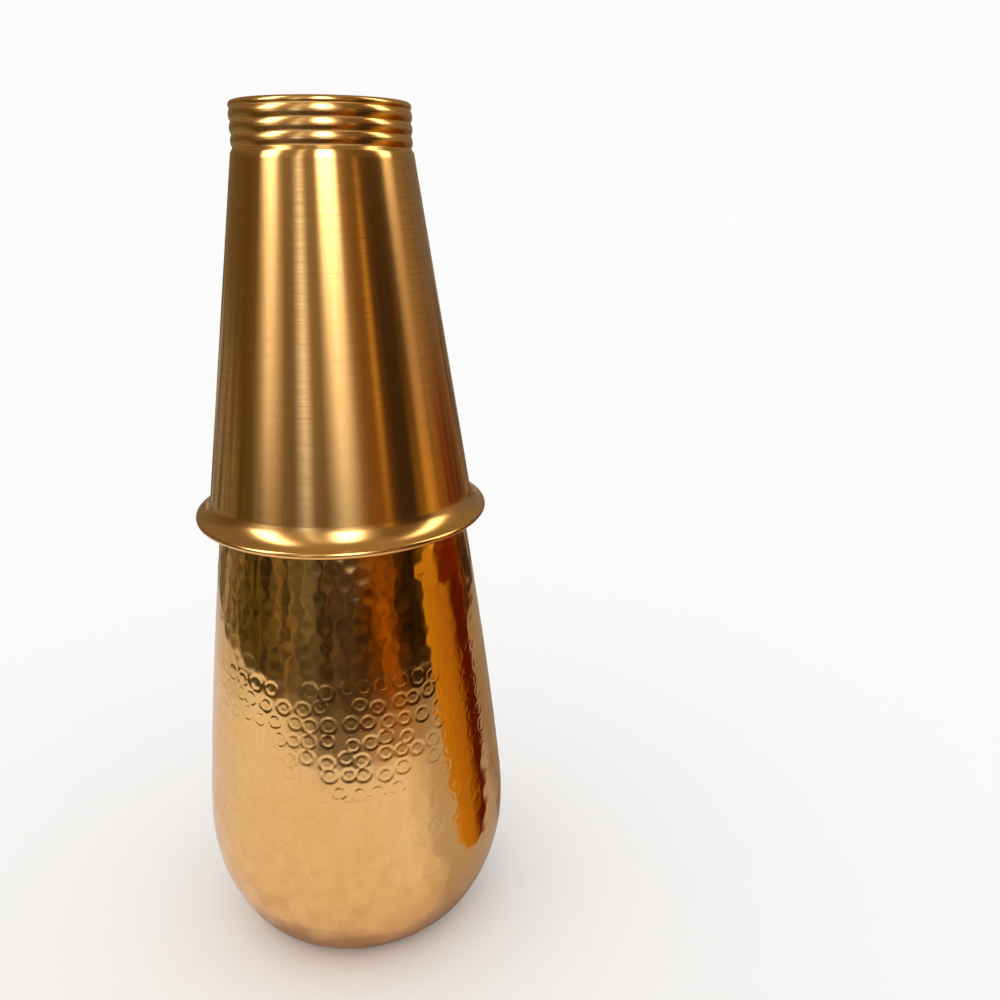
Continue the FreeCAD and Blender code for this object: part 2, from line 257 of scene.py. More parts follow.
# rows of marks: their heights, then the arguments that mark_rows takes
BOWL_DOT_ROWS = np.array([54, 59.5, 65]) * MM
BOWL_DOTS = {"spacing": 6 * MM, "radius": 2.1 * MM, "depth": 0.03 * MM, "loose": 0.2, "missing": 0.3}
BOWL_FACET_ROWS = np.arange(7, 68, 5.6) * MM
BOWL_FACETS = {"spacing": 6.6 * MM, "radius": 4.4 * MM, "depth": 0.13 * MM, "loose": 0.22}
CRISP_ROWS = np.arange(71.5, 104, 5.4) * MM
CRISP_MARKS = {"spacing": 5.7 * MM, "radius": 2.0 * MM, "depth": 0.03 * MM, "loose": 0.17,
               "missing": 0.12}
UPPER_ROWS = np.arange(106, 152, 4.4) * MM
UPPER_MARKS = {"spacing": 5.0 * MM, "radius": 2.7 * MM, "depth": 0.065 * MM, "loose": 0.3}
BOWL_GROOVE, SHELL_GROOVE = 0.07 * MM, 0.085 * MM
SEAM_ROUND = 0.06 * MM           # depth by which both skins turn inward at the seam


def mark_rows(heights, rng, spacing, radius, depth, loose, missing=0.0):
    """Round marks (angle, height, radius, depth) in staggered rows at the given heights.

    loose is how far a mark strays, as a part of the spacing; missing is the share left out.
    """
    marks = []
    for height in heights:
        around = 2 * math.pi * np.interp(height, WALL[:, 1], WALL[:, 0])
        count = round(around / spacing)
        start = rng.uniform(0, 2 * math.pi)
        for i in range(count):
            turn = start + 2 * math.pi * (i + rng.uniform(-loose, loose)) / count
            lift = height + rng.uniform(-loose, loose) * spacing
            size = radius * rng.uniform(0.9, 1.1)
            deep = depth * rng.uniform(0.6, 1.3)
            if rng.uniform() > missing:
                marks.append((turn, lift, size, deep))
    return marks


def outward_normals(skin):
    """Unit normals of a skin that goes up, pointing away from the axis."""
    tangent = np.gradient(skin, axis=0)
    tangent /= np.linalg.norm(tangent, axis=1)[:, None]
    return np.stack([tangent[:, 1], -tangent[:, 0]], axis=1)


def travel_along(skin):
    """Distance along a skin from its first point to each point."""
    return np.concatenate([[0], np.cumsum(np.linalg.norm(np.diff(skin, axis=0), axis=1))])


def snap_to_rims(turn, travel, cell, rims):
    """Slide grid points that lie near a mark's rim on to it, so that rims come out round."""
    for place, angle, across, radius in rims:
        rows = np.nonzero(np.abs(travel[:, 0] - place) < radius + cell)[0]
        near = np.abs((turn[0] - angle + math.pi) % (2 * math.pi) - math.pi)
        columns = np.nonzero(near * across < radius + cell)[0]
        if len(rows) == 0 or len(columns) == 0:
            continue
        patch = np.ix_(rows, columns)
        sideways = ((turn[patch] - angle + math.pi) % (2 * math.pi) - math.pi) * across
        along = travel[patch] - place
        away = np.hypot(sideways, along)
        close = (np.abs(away - radius) < SNAP * cell) & (away > 0)
        pull = np.where(close, radius / np.maximum(away, 1e-9) - 1, 0)
        turn[patch] += sideways * pull / across
        travel[patch] += along * pull


def press_marks(turn, travel, skin, reach, marks, ring=0.0):
    """Depth of the deepest round mark at every grid point.

    A mark is a shallow dish; ring is the extra depth of the sharp groove round its edge.
    """
    dent = np.zeros(turn.shape)
    for angle, height, radius, depth in marks:
        place = np.interp(height, skin[:, 1], reach)
        across = np.interp(height, skin[:, 1], skin[:, 0])
        rows = np.nonzero(np.abs(reach - place) < radius + 1.5 * RING_WIDTH)[0]
        near = np.abs((turn[0] - angle + math.pi) % (2 * math.pi) - math.pi)
        columns = np.nonzero(near * across < radius + 1.5 * RING_WIDTH)[0]
        if len(rows) == 0 or len(columns) == 0:
            continue
        patch = np.ix_(rows, columns)
        sideways = ((turn[patch] - angle + math.pi) % (2 * math.pi) - math.pi) * across
        away = np.hypot(sideways, travel[patch] - place)
        dish = depth * np.clip(1 - (away / radius) ** 2, 0, None)
        groove = ring * np.clip(1 - np.abs(away - radius) / RING_WIDTH, 0, None)
        dent[patch] = np.maximum(dent[patch], dish + groove)
    return dent


def swell(turn, travel, turns, length, rng):
    """A slow uneven wave between 0 and 1 over the skin."""
    phase = rng.uniform(0, 2 * math.pi, 4)
    bend = 2.1 * np.sin(travel / length + phase[1])
    drift = 1.7 * np.sin(3 * turn + phase[3])
    wave = np.sin(turns * turn + phase[0] + bend) * np.sin(travel / length + phase[2] + drift)
    return 0.5 + 0.5 * wave


def hammered_skin(skin, sharp_marks, soft_marks, ring, rng, edges):
    """Grid of an outer skin, going up, with marks pressed in along its normals.

    ring is the depth of the groove round each sharp mark; edges is how far the skin's first and
    last edges turn inward.
    """
    skin = np.array(skin)
    normals = outward_normals(skin)
    reach = travel_along(skin)
    cell = reach[1]
    turn = np.tile(np.arange(SEGMENTS) * 2 * math.pi / SEGMENTS, (len(skin), 1))
    travel = np.tile(reach[:, None], (1, SEGMENTS))
    rims = [(np.interp(height, skin[:, 1], reach), angle,
             np.interp(height, skin[:, 1], skin[:, 0]), radius)
            for angle, height, radius, _ in sharp_marks]
    snap_to_rims(turn, travel, cell, rims)
    travel[0], travel[-1] = 0, reach[-1]
    dent = press_marks(turn, travel, skin, reach, sharp_marks, ring)
    dent += press_marks(turn, travel, skin, reach, soft_marks)
    for depth, turns, length in SWELLS:
        dent += depth * swell(turn, travel, turns, length, rng)
    dent *= np.clip(np.minimum(travel, reach[-1] - travel) / EDGE_CALM, 0, 1)
    for depth, gap in zip(edges, (travel, reach[-1] - travel)):
        dent += depth * np.clip(1 - gap / EDGE_ROUND, 0, 1) ** 2
    across = np.interp(travel, reach, skin[:, 0]) - np.interp(travel, reach, normals[:, 0]) * dent
    up = np.interp(travel, reach, skin[:, 1]) - np.interp(travel, reach, normals[:, 1]) * dent
    return np.stack([across * np.cos(turn), across * np.sin(turn), up], axis=2)


# ------------------------------------------------------------------ jug
def bowl_inside():
    """From the seam up the joggled lap, down the inside and under the kicked base."""
    return join(
        taper_run(SEAM, LAP_TOP, JUG_SHEET + SLIP, step=3 * MM),
        taper_run(SEAM - JOGGLE, LAP_TOP, 2 * JUG_SHEET, step=3 * MM)[::-1],
        bowl_run(SEAM - 2 * JOGGLE, JUG_SHEET, step=3 * MM)[::-1],
        kick_run(JUG_SHEET, step=4 * MM)[::-1],
        kick_run(0, step=4 * MM),
    )


def make_bowl():
    """The lower bowl: faint flat facets all over, and a few faint rings below the seam."""
    rng = np.random.default_rng(SEED)
    skin = bowl_run(SEAM, 0, step=0.64 * MM)
    dots = mark_rows(BOWL_DOT_ROWS, rng, **BOWL_DOTS)
    facets = mark_rows(BOWL_FACET_ROWS, rng, **BOWL_FACETS)
    grid = hammered_skin(skin, dots, facets, BOWL_GROOVE, rng, edges=(0.0, SEAM_ROUND))
    return hammered_piece("jug_bowl_hammered", grid, bowl_inside(), "jug",
                          "jug_bowl")


def shell_inside():
    """From the taper over the shoulder, up the collar and back down the inside."""
    turn = SHOULDER_TURN - JUG_SHEET
    fillet = COLLAR_FILLET + JUG_SHEET
    fillet_x = COLLAR_RADIUS + COLLAR_FILLET
    quarter, half, three_quarters = math.pi / 2, math.pi, 3 * math.pi / 2
    return join(
        arc(SHOULDER_X, SHOULDER_Z, SHOULDER_TURN, SHOULDER_LEAN, quarter, step=0.7 * MM)[1:],
        arc(fillet_x, COLLAR_FOOT, COLLAR_FILLET, three_quarters, half, step=0.4 * MM),
        line((COLLAR_RADIUS, COLLAR_FOOT), (COLLAR_RADIUS, COLLAR_TOP), step=2 * MM),
        [(NECK_RADIUS + SLIP, COLLAR_TOP), (NECK_RADIUS + SLIP, COLLAR_FOOT)],
        arc(fillet_x, COLLAR_FOOT, fillet, half, three_quarters, step=MM)[1:],
        arc(SHOULDER_X, SHOULDER_Z, turn, quarter, SHOULDER_LEAN, step=MM),
        taper_run(SEAM, SHOULDER, JUG_SHEET, step=4 * MM)[::-1],
    )


def make_shell():
    """The tapering wall: sharp ringed marks in its lower half, soft overlapping ones above."""
    rng = np.random.default_rng(SEED + 1)
    skin = join(taper_run(SEAM, CRISP_TOP, 0, step=0.46 * MM),
                taper_run(CRISP_TOP, SHOULDER, 0, step=0.92 * MM))
    crisp = mark_rows(CRISP_ROWS, rng, **CRISP_MARKS)
    upper = mark_rows(UPPER_ROWS, rng, **UPPER_MARKS)
    grid = hammered_skin(skin, crisp, upper, SHELL_GROOVE, rng, edges=(SEAM_ROUND, 0.0))
    return hammered_piece("jug_shell_hammered", grid, shell_inside(), "jug",
                          "jug_shell")


def make_neck():
    """The neck tube with its flared rim curled round the wire."""
    bead = NECK_WIRE + JUG_SHEET
    lip = NECK_LIP - bead
    wire_z = MOUTH - bead
    flare = lip - NECK_RADIUS
    flare_z = MOUTH - JUG_SHEET - flare
    inner = NECK_RADIUS - JUG_SHEET
    top, side = math.pi / 2, math.pi
    outline = join(
        line((NECK_RADIUS, NECK_FOOT), (NECK_RADIUS, flare_z), step=3 * MM),
        arc(lip, flare_z, flare, side, top, step=0.2 * MM),
        arc(lip, wire_z, NECK_WIRE, top, -CURL_END, step=0.2 * MM),
        arc(lip, wire_z, bead, -CURL_END, top, step=0.2 * MM),
        arc(lip, flare_z, flare + JUG_SHEET, top, side, step=0.2 * MM),
        line((inner, flare_z), (inner, NECK_FOOT), step=3 * MM),
    )
    return turned_piece("jug_neck_turned", outline, NECK_SEGMENTS, "jug",
                        "jug_neck")


# ------------------------------------------------------------------ tumbler
CUP_BEAD = CUP_WIRE + CUP_SHEET
LIP_X = CUP_LIP - CUP_BEAD
FLARE_X = LIP_X + (CUP_FLARE + CUP_BEAD) * math.cos(FLARE_END)
FLARE_Z = CUP_BEAD + (CUP_FLARE + CUP_BEAD) * math.sin(FLARE_END)
FLARE_TOP = FLARE_Z - CUP_FLARE * math.sin(CUP_TAPER)
ROLL_Z = TOP - RIM - FOOT_ROLL
GROOVE_Z = ROLL_Z - math.sqrt(FOOT_ROLL ** 2 - (GROOVE - FOOT_ROLL_X) ** 2)
BAND = GROOVE_Z - BEAD_COUNT * BEAD_PITCH
BAND_EDGE = BAND - FOOT_STEP


def wall_point(height, reach):
    """A point of the tumbler's straight wall, at a height above its rim plane."""
    across = FLARE_X - reach * math.cos(CUP_TAPER)
    up = FLARE_Z - reach * math.sin(CUP_TAPER)
    return across - (height - up) * math.tan(CUP_TAPER), height


def cup_inside():
    """From the end of the curled lip up the inside to the underside of the foot's roll."""
    inner_flare = CUP_FLARE + CUP_SHEET
    inner_roll = FOOT_ROLL - CUP_SHEET
    inner_z = ROLL_Z + math.sqrt(inner_roll ** 2 - (FOOT_INNER - FOOT_ROLL_X) ** 2)
    inner_turn = math.atan2(inner_z - ROLL_Z, FOOT_INNER - FOOT_ROLL_X)
    return join(
        arc(LIP_X, CUP_BEAD, CUP_WIRE, -CURL_END, FLARE_END, step=0.15 * MM),
        arc(FLARE_X, FLARE_Z, inner_flare, math.pi + FLARE_END, math.pi + CUP_TAPER, step=0.3 * MM),
        line(wall_point(FLARE_TOP, inner_flare), wall_point(BAND_EDGE, inner_flare), step=4 * MM),
        [(FOOT_INNER, BAND), (FOOT_INNER, inner_z)],
        arc(FOOT_ROLL_X, ROLL_Z, inner_roll, inner_turn, math.pi / 2, step=0.3 * MM),
    )


def cup_outside():
    """From the top of the foot's roll down the beads and the wall to the curled lip."""
    groove_turn = math.atan2(GROOVE_Z - ROLL_Z, GROOVE - FOOT_ROLL_X)
    grooves = [(GROOVE, GROOVE_Z - k * BEAD_PITCH) for k in range(BEAD_COUNT)]
    beads = [bulge(groove, (GROOVE, GROOVE_Z - (k + 1) * BEAD_PITCH), BEAD_RADIUS)
             for k, groove in enumerate(grooves)]
    edge = wall_point(BAND_EDGE, CUP_FLARE)
    return join(
        arc(FOOT_ROLL_X, ROLL_Z, FOOT_ROLL, math.pi / 2, groove_turn, step=0.2 * MM),
        *beads,
        line((GROOVE, BAND), edge, step=0.3 * MM),
        line(edge, wall_point(FLARE_TOP, CUP_FLARE), step=2 * MM),
        arc(FLARE_X, FLARE_Z, CUP_FLARE, math.pi + CUP_TAPER, math.pi + FLARE_END, step=0.2 * MM),
        arc(LIP_X, CUP_BEAD, CUP_BEAD, FLARE_END, -CURL_END, step=0.15 * MM),
    )


def make_tumbler():
    """The spun wall, drawn from its rim plane and lifted to where it rests on the jug."""
    flat = FOOT_ROLL_X - FOOT_FLAT
    foot_edge = [(flat, TOP - RIM - CUP_SHEET), (flat, TOP - RIM)]
    outline = join(cup_inside(), foot_edge, cup_outside())
    lifted = [(across, RIM + up) for across, up in outline]
    return turned_piece("tumbler_wall_spun", lifted, CUP_SEGMENTS, "tumbler",
                        "tumbler_wall")


def make_tumbler_base():
    """The disc in the foot, with its short flange turned up."""
    outer_bend = BASE_BEND + CUP_SHEET
    plate_top = PLATE_BOTTOM + CUP_SHEET
    bend_x = FOOT_INNER - outer_bend
    outline = join(
        line((0, PLATE_BOTTOM), (bend_x, PLATE_BOTTOM), step=3 * MM),
        arc(bend_x, PLATE_BOTTOM + outer_bend, outer_bend, -math.pi / 2, 0, step=0.25 * MM),
        [(FOOT_INNER - SLIP, FLANGE_TOP), (FOOT_INNER - CUP_SHEET, FLANGE_TOP)],
        arc(bend_x, plate_top + BASE_BEND, BASE_BEND, 0, -math.pi / 2, step=0.25 * MM),
        line((bend_x, plate_top), (0, plate_top), step=3 * MM),
    )
    return turned_piece("tumbler_base_disc", outline, DISC_SEGMENTS, "tumbler",
                        "tumbler_base")


# ------------------------------------------------------------------ shader helpers
def new_material(name):
    """A material, its node tree and its Principled shader set up as bare metal."""
    material = bpy.data.materials.new(name)
    material.use_nodes = True
    tree = material.node_tree
    shader = tree.nodes["Principled BSDF"]
    shader.inputs["Metallic"].default_value = 1.0
    return material, tree, shader


def add_node(tree, kind, inputs=None, **settings):
    """A shader node with its settings, and its inputs (by name or place) set or linked."""
    node = tree.nodes.new("ShaderNode" + kind)
    for name, value in settings.items():
        setattr(node, name, value)
    for name, value in (inputs or {}).items():
        if isinstance(value, bpy.types.NodeSocket):
            tree.links.new(value, node.inputs[name])
        else:
            node.inputs[name].default_value = value
    return node


def place_in(tree, stretch=(1, 1, 1)):
    """Object coordinates, stretched, for patterns fixed to the piece."""
    where = add_node(tree, "TexCoord").outputs["Object"]
    return add_node(tree, "Mapping", {"Vector": where, "Scale": stretch}).outputs[0]


def cloud(tree, where, scale, detail=3.0, rough=0.6):
    """A noise value from 0 to 1."""
    return add_node(tree, "TexNoise", {"Vector": where, "Scale": scale, "Detail": detail,
                                       "Roughness": rough}).outputs["Fac"]


def spread(tree, value, low, high, start=0.3, end=0.7):
    """A value mapped from start..end to low..high."""
    return add_node(tree, "MapRange", {"Value": value, "From Min": start, "From Max": end,
                                       "To Min": low, "To Max": high}).outputs[0]


def mix_colours(tree, factor, first, second):
    """A colour between two, each a socket or three numbers."""
    first, second = [value if isinstance(value, bpy.types.NodeSocket) else (*value, 1)
                     for value in (first, second)]
    return add_node(tree, "Mix", {0: factor, 6: first, 7: second}, data_type="RGBA").outputs[2]


def tone_ramp(tree, factor, tones):
    """A colour that follows a list of tones round the jug, factor going from 0 to 1."""
    ramp = add_node(tree, "ValToRGB", {"Fac": factor})
    ramp.color_ramp.interpolation = "LINEAR"
    stops = ramp.color_ramp.elements
    while len(stops) < len(tones):
        stops.new(0.5)
    for stop, (degrees, colour) in zip(stops, tones):
        stop.position = degrees / 360 + 0.5
        stop.color = (*colour, 1)
    return ramp.outputs["Color"]


def bumps(tree, height, strength, distance):
    """The normal of a bumpy surface."""
    return add_node(tree, "Bump", {"Height": height, "Strength": strength,
                                   "Distance": distance}).outputs[0]


def dress(tree, shader, colour, roughness, normal):
    """Link a metal's colour, roughness and normal to its shader."""
    tree.links.new(colour, shader.inputs["Base Color"])
    tree.links.new(roughness, shader.inputs["Roughness"])
    tree.links.new(normal, shader.inputs["Normal"])


# ------------------------------------------------------------------ materials
COPPER = (0.95, 0.58, 0.23)
DARK_COPPER = (0.91, 0.51, 0.17)
BRUSHED_DARK = (0.80, 0.44, 0.14)
TURNING_LINES = (6, 6, 900)      # noise stretched into rings: fine turning lines,
BRUSH_LINES = (60, 60, 1700)     # finer broken brush lines,
BRUSH_BANDS = (3, 3, 260)        # and slow bands across them


def hammered_copper():
    """Bright hammered copper with faint tarnish in patches and the planisher's fine texture."""
    material, tree, shader = new_material("hammered_copper")
    where = place_in(tree)
    patches = cloud(tree, where, scale=32, detail=4)
    grain = cloud(tree, where, scale=420, detail=2)
    colour = mix_colours(tree, spread(tree, patches, 0, 1), COPPER, DARK_COPPER)
    roughness = spread(tree, patches, low=0.07, high=0.15)
    dress(tree, shader, colour, roughness, bumps(tree, grain, strength=0.25, distance=0.00006))
    return material


def polished_copper():
    """Polished turned copper with faint turning lines."""
    material, tree, shader = new_material("polished_copper")
    patches = cloud(tree, place_in(tree), scale=40, detail=3)
    rings = cloud(tree, place_in(tree, TURNING_LINES), scale=1.0, detail=2)
    colour = mix_colours(tree, spread(tree, patches, 0, 1), COPPER, DARK_COPPER)
    roughness = spread(tree, patches, low=0.09, high=0.16)
    dress(tree, shader, colour, roughness, bumps(tree, rings, strength=0.2, distance=0.00004))
    return material


def brushed_copper():
    """Satin copper brushed round and round, so that highlights stretch up and down the wall."""
    material, tree, shader = new_material("brushed_copper")
    lines = cloud(tree, place_in(tree, BRUSH_LINES), scale=1.0, detail=2)
    bands = cloud(tree, place_in(tree, BRUSH_BANDS), scale=1.0, detail=2, rough=0.5)
    colour = mix_colours(tree, spread(tree, lines, 0, 1, 0.2, 0.8), COPPER, BRUSHED_DARK)
    roughness = spread(tree, lines, low=0.13, high=0.22, start=0.1, end=0.9)
    dress(tree, shader, colour, roughness, bumps(tree, bands, strength=0.1, distance=0.00002))
    shader.inputs["Anisotropic"].default_value = 0.9
    shader.inputs["Anisotropic Rotation"].default_value = 0.25
    tangent = add_node(tree, "Tangent", direction_type="RADIAL", axis="Z")
    tree.links.new(tangent.outputs[0], shader.inputs["Tangent"])
    return material


def satin_copper():
    """The softer, even sheen of the tumbler's foot, beads and lip."""
    material, tree, shader = new_material("satin_copper")
    lines = cloud(tree, place_in(tree, BRUSH_LINES), scale=1.0, detail=2)
    colour = mix_colours(tree, spread(tree, lines, 0, 1, 0.2, 0.8), COPPER, DARK_COPPER)
    roughness = spread(tree, lines, low=0.16, high=0.24, start=0.1, end=0.9)
    dress(tree, shader, colour, roughness, bumps(tree, lines, strength=0.05, distance=0.00002))
    return material


def copper_wire():
    """Drawn copper wire."""
    material, tree, shader = new_material("copper_wire")
    patches = cloud(tree, place_in(tree), scale=60, detail=3)
    colour = mix_colours(tree, spread(tree, patches, 0, 1), COPPER, DARK_COPPER)
    roughness = spread(tree, patches, low=0.2, high=0.35)
    dress(tree, shader, colour, roughness, bumps(tree, patches, strength=0.1, distance=0.00005))
    return material


def matt(name, colour):
    """A plain matt material."""
    material, _, shader = new_material(name)
    shader.inputs["Metallic"].default_value = 0.0
    shader.inputs["Base Color"].default_value = (*colour, 1)
    shader.inputs["Roughness"].default_value = 0.9
    shader.inputs["Specular IOR Level"].default_value = 0.0
    return material


# ------------------------------------------------------------------ studio
BACKDROP = (0.967, 0.967, 0.962)
DAYLIGHT = (1.04, 1.04, 1.04)
FLOOR_RADIUS, FLOOR_TONE = 8.0, (0.93, 0.93, 0.925)

TABLE_RADIUS, TABLE_HEIGHT, TABLE_TONE = 0.34, 0.4 * MM, (0.8, 0.8, 0.8)
TABLE_FAR = (0.238, 0.268)       # distance over which the near tones give way to the far ones
TABLE_CONTACT = (0.040, 0.050)   # and over which the shade under the bowl ends
# painted shadow under the bowl: its tone, and how far it darkens the table
CONTACT_SHADOW_TONE, CONTACT_SHADE = (0.16, 0.09, 0.05), 0.55
STAIN_TONE, STAIN_SHADE = (0.52, 0.44, 0.36), 0.40
WOBBLE, WOBBLE_CENTRE = 0.04, (0.02, 0.02, 0.02)    # how far noise stirs the tones, and its mean

NEIGHBOUR_PLACE = (0.110, -0.011)
NEIGHBOUR_OUTLINE = ((0.027, 0.0005), (0.038, 0.065), (0.041, 0.118), (0.045, 0.122))
NEIGHBOUR_SEGMENTS = 64
# painted light on the neighbour's side towards the camera, painted shade behind it
NEIGHBOUR_LIT_TONE, NEIGHBOUR_SHADE = (0.60, 0.30, 0.02), (0.15, 0.02, 0.0)
NEIGHBOUR_TURN = (-0.016, -0.008)    # Y over which its tone gives way to its shade

# where the room's bands begin and end, as the upward part of a direction
LOW_TO_WALLS = (-0.06, -0.01)
WALLS_TO_HIGH = (0.27, 0.34)
HIGH_TO_CEILING = (0.76, 0.90)
HIGH_LIGHT = 6.0
CEILING_TONE = (0.30, 0.23, 0.13)

# Tones round the jug, as (degrees from the camera's side towards +X, colour), seen only in the
# copper.  First the table near the jug, with painted shade towards +X, then its far edge,
# with a painted shadow across it in front of the jug.
NEAR_TONES_AND_SHADE = [
    (-180, (0.72, 0.70, 0.70)),
    (-110, (0.74, 0.72, 0.73)),
    (-75, (0.83, 0.81, 0.84)),
    (40, (0.84, 0.82, 0.85)),
    (50, (0.74, 0.71, 0.70)),
    # painted shade: the near table darkens from here round the +X side
    (62, (0.50, 0.46, 0.44)),
    (105, (0.50, 0.46, 0.44)),
    (122, (0.28, 0.20, 0.14)),
    (160, (0.30, 0.24, 0.18)),
    (180, (0.72, 0.70, 0.70)),
]
FAR_TONES_AND_SHADOW = [
    (-180, (0.62, 0.60, 0.58)),
    (-95, (0.60, 0.57, 0.53)),
    (-66, (0.84, 0.82, 0.80)),
    (-40, (0.78, 0.73, 0.68)),
    # painted shadow across the far edge in front of the jug, darkest from -15 to 10 degrees
    (-27, (0.44, 0.40, 0.35)),
    (-15, (0.13, 0.11, 0.10)),
    (10, (0.11, 0.10, 0.08)),
    (18, (0.22, 0.15, 0.09)),
    (26, (0.36, 0.27, 0.20)),
    (34, (0.25, 0.15, 0.06)),
    (46, (0.35, 0.20, 0.06)),
    (60, (0.32, 0.26, 0.20)),
    (160, (0.30, 0.24, 0.18)),
    (180, (0.72, 0.70, 0.70)),
]

# Then the room: its walls, what is bright high on them, and what is low, behind the table.
WALL_TONES = [
    (-180, (0.25, 0.20, 0.12)),
    (-120, (0.13, 0.09, 0.04)),
    (-90, (0.10, 0.06, 0.01)),
    (-76, (0.14, 0.09, 0.03)),
    (-67, (0.34, 0.28, 0.18)),
    (-58, (1.10, 1.05, 1.02)),
    (-48, (0.62, 0.56, 0.48)),
    (-39, (0.18, 0.12, 0.05)),
    (-30, (0.20, 0.16, 0.12)),
    (-21, (1.25, 1.30, 1.45)),
    (-13, (0.28, 0.22, 0.13)),
    (-5, (0.22, 0.17, 0.11)),
    (3, (0.50, 0.46, 0.40)),
    (12, (1.25, 1.25, 1.25)),
    (20, (0.80, 0.74, 0.66)),
    (28, (0.32, 0.22, 0.12)),
    (36, (0.17, 0.09, 0.02)),
    (43, (0.20, 0.10, 0.01)),
    (48, (0.62, 0.36, 0.08)),
    (53, (0.10, 0.04, 0.00)),
    (62, (0.03, 0.01, 0.00)),
    (84, (0.04, 0.02, 0.00)),
    (94, (0.40, 0.30, 0.22)),
    (106, (0.30, 0.22, 0.12)),
    (125, (0.20, 0.15, 0.10)),
    (150, (0.18, 0.15, 0.14)),
    (180, (0.25, 0.20, 0.12)),
]
HIGH_TONES = [
    (-180, (0.04, 0.03, 0.02)),
    (-76, (0.03, 0.02, 0.01)),
    (-68, (1.00, 0.95, 0.88)),
    (-56, (1.00, 0.95, 0.88)),
    (-48, (0.06, 0.04, 0.02)),
    (-27, (0.05, 0.04, 0.02)),
    (-21, (0.22, 0.20, 0.17)),
    (-14, (0.05, 0.04, 0.02)),
    (-2, (0.06, 0.04, 0.02)),
    (4, (1.00, 0.98, 0.92)),
    (20, (1.00, 0.98, 0.92)),
    (26, (0.08, 0.05, 0.02)),
    (40, (0.03, 0.02, 0.01)),
    (86, (0.02, 0.01, 0.00)),
    (92, (0.70, 0.62, 0.50)),
    (102, (0.70, 0.62, 0.50)),
    (108, (0.04, 0.03, 0.01)),
    (180, (0.04, 0.03, 0.02)),
]
LOW_TONES = [
    (-180, (0.30, 0.25, 0.18)),
    (-112, (0.24, 0.20, 0.13)),
    (-98, (0.22, 0.17, 0.08)),
    (-86, (0.09, 0.07, 0.02)),
    (-64, (0.08, 0.06, 0.02)),
    (-45, (0.18, 0.13, 0.06)),
    (-34, (0.11, 0.09, 0.05)),
    (-26, (0.12, 0.11, 0.08)),
    (-10, (0.09, 0.06, 0.03)),
    (6, (0.06, 0.04, 0.03)),
    (18, (0.06, 0.03, 0.01)),
    (26, (0.18, 0.06, 0.00)),
    (42, (0.25, 0.08, 0.00)),
    (51, (0.18, 0.06, 0.00)),
    (58, (0.02, 0.01, 0.00)),
    (74, (0.02, 0.01, 0.00)),
    (82, (0.32, 0.17, 0.02)),
    (91, (0.56, 0.31, 0.02)),
    (103, (0.38, 0.16, 0.00)),
    (116, (0.14, 0.02, 0.00)),
    (135, (0.14, 0.05, 0.01)),
    (180, (0.30, 0.25, 0.18)),
]


def stage_mesh(name, shape, material):
    """An item that is not part of the object."""
    mesh = bpy.data.meshes.new(name)
    shape.to_mesh(mesh)
    shape.free()
    mesh.materials.append(material)
    item = bpy.data.objects.new(name, mesh)
    bpy.context.collection.objects.link(item)
    return item


def stage_disc(name, radius, height, material, count=96):
    """A flat disc facing up, round the jug's axis."""
    shape = bmesh.new()
    angles = np.linspace(0, 2 * math.pi, count, endpoint=False)
    shape.faces.new([shape.verts.new((radius * math.cos(a), radius * math.sin(a), height))
                     for a in angles])
    return stage_mesh(name, shape, material)


def reflection_only(item):
    """Leave an item to be seen in the copper, and nowhere else."""
    item.visible_camera = False
    item.visible_diffuse = False
    item.visible_shadow = False
    item.visible_transmission = False


def turn_about_jug(tree, parts):
    """0 to 1 round the jug's axis, 0.5 on the camera's side, rising towards +X."""
    back = add_node(tree, "Math", {0: parts.outputs["Y"], 1: -1}, operation="MULTIPLY")
    angle = add_node(tree, "Math", {0: parts.outputs["X"], 1: back.outputs[0]}, operation="ARCTAN2")
    return spread(tree, angle.outputs[0], 0, 1, -math.pi, math.pi)


def neighbour_finish():
    """Warm copper tones, with painted light on the side that faces the camera and painted shade
    behind.
    """
    material = matt("warm_neighbour", NEIGHBOUR_LIT_TONE)
    tree = material.node_tree
    place = add_node(tree, "SeparateXYZ", {"Vector": add_node(tree, "TexCoord").outputs["Object"]})
    # painted shade: the tone darkens away from the camera's side
    depth = spread(tree, place.outputs["Y"], 0, 1, *NEIGHBOUR_TURN)
    lit_and_shaded = mix_colours(tree, depth, NEIGHBOUR_LIT_TONE, NEIGHBOUR_SHADE)
    tree.links.new(lit_and_shaded, tree.nodes["Principled BSDF"].inputs["Base Color"])
    return material


def make_neighbour():
    """A warm tapered form beside the jug, as another copper cup would show in its side."""
    shape = bmesh.new()
    angles = np.linspace(0, 2 * math.pi, NEIGHBOUR_SEGMENTS, endpoint=False)
    x, y = NEIGHBOUR_PLACE
    rings = [[shape.verts.new((x + r * math.cos(a), y + r * math.sin(a), z)) for a in angles]
             for r, z in NEIGHBOUR_OUTLINE]
    for low, high in zip(rings, rings[1:]):
        for i in range(NEIGHBOUR_SEGMENTS):
            j = (i + 1) % NEIGHBOUR_SEGMENTS
            shape.faces.new([low[i], low[j], high[j], high[i]])
    reflection_only(stage_mesh("neighbour", shape, neighbour_finish()))


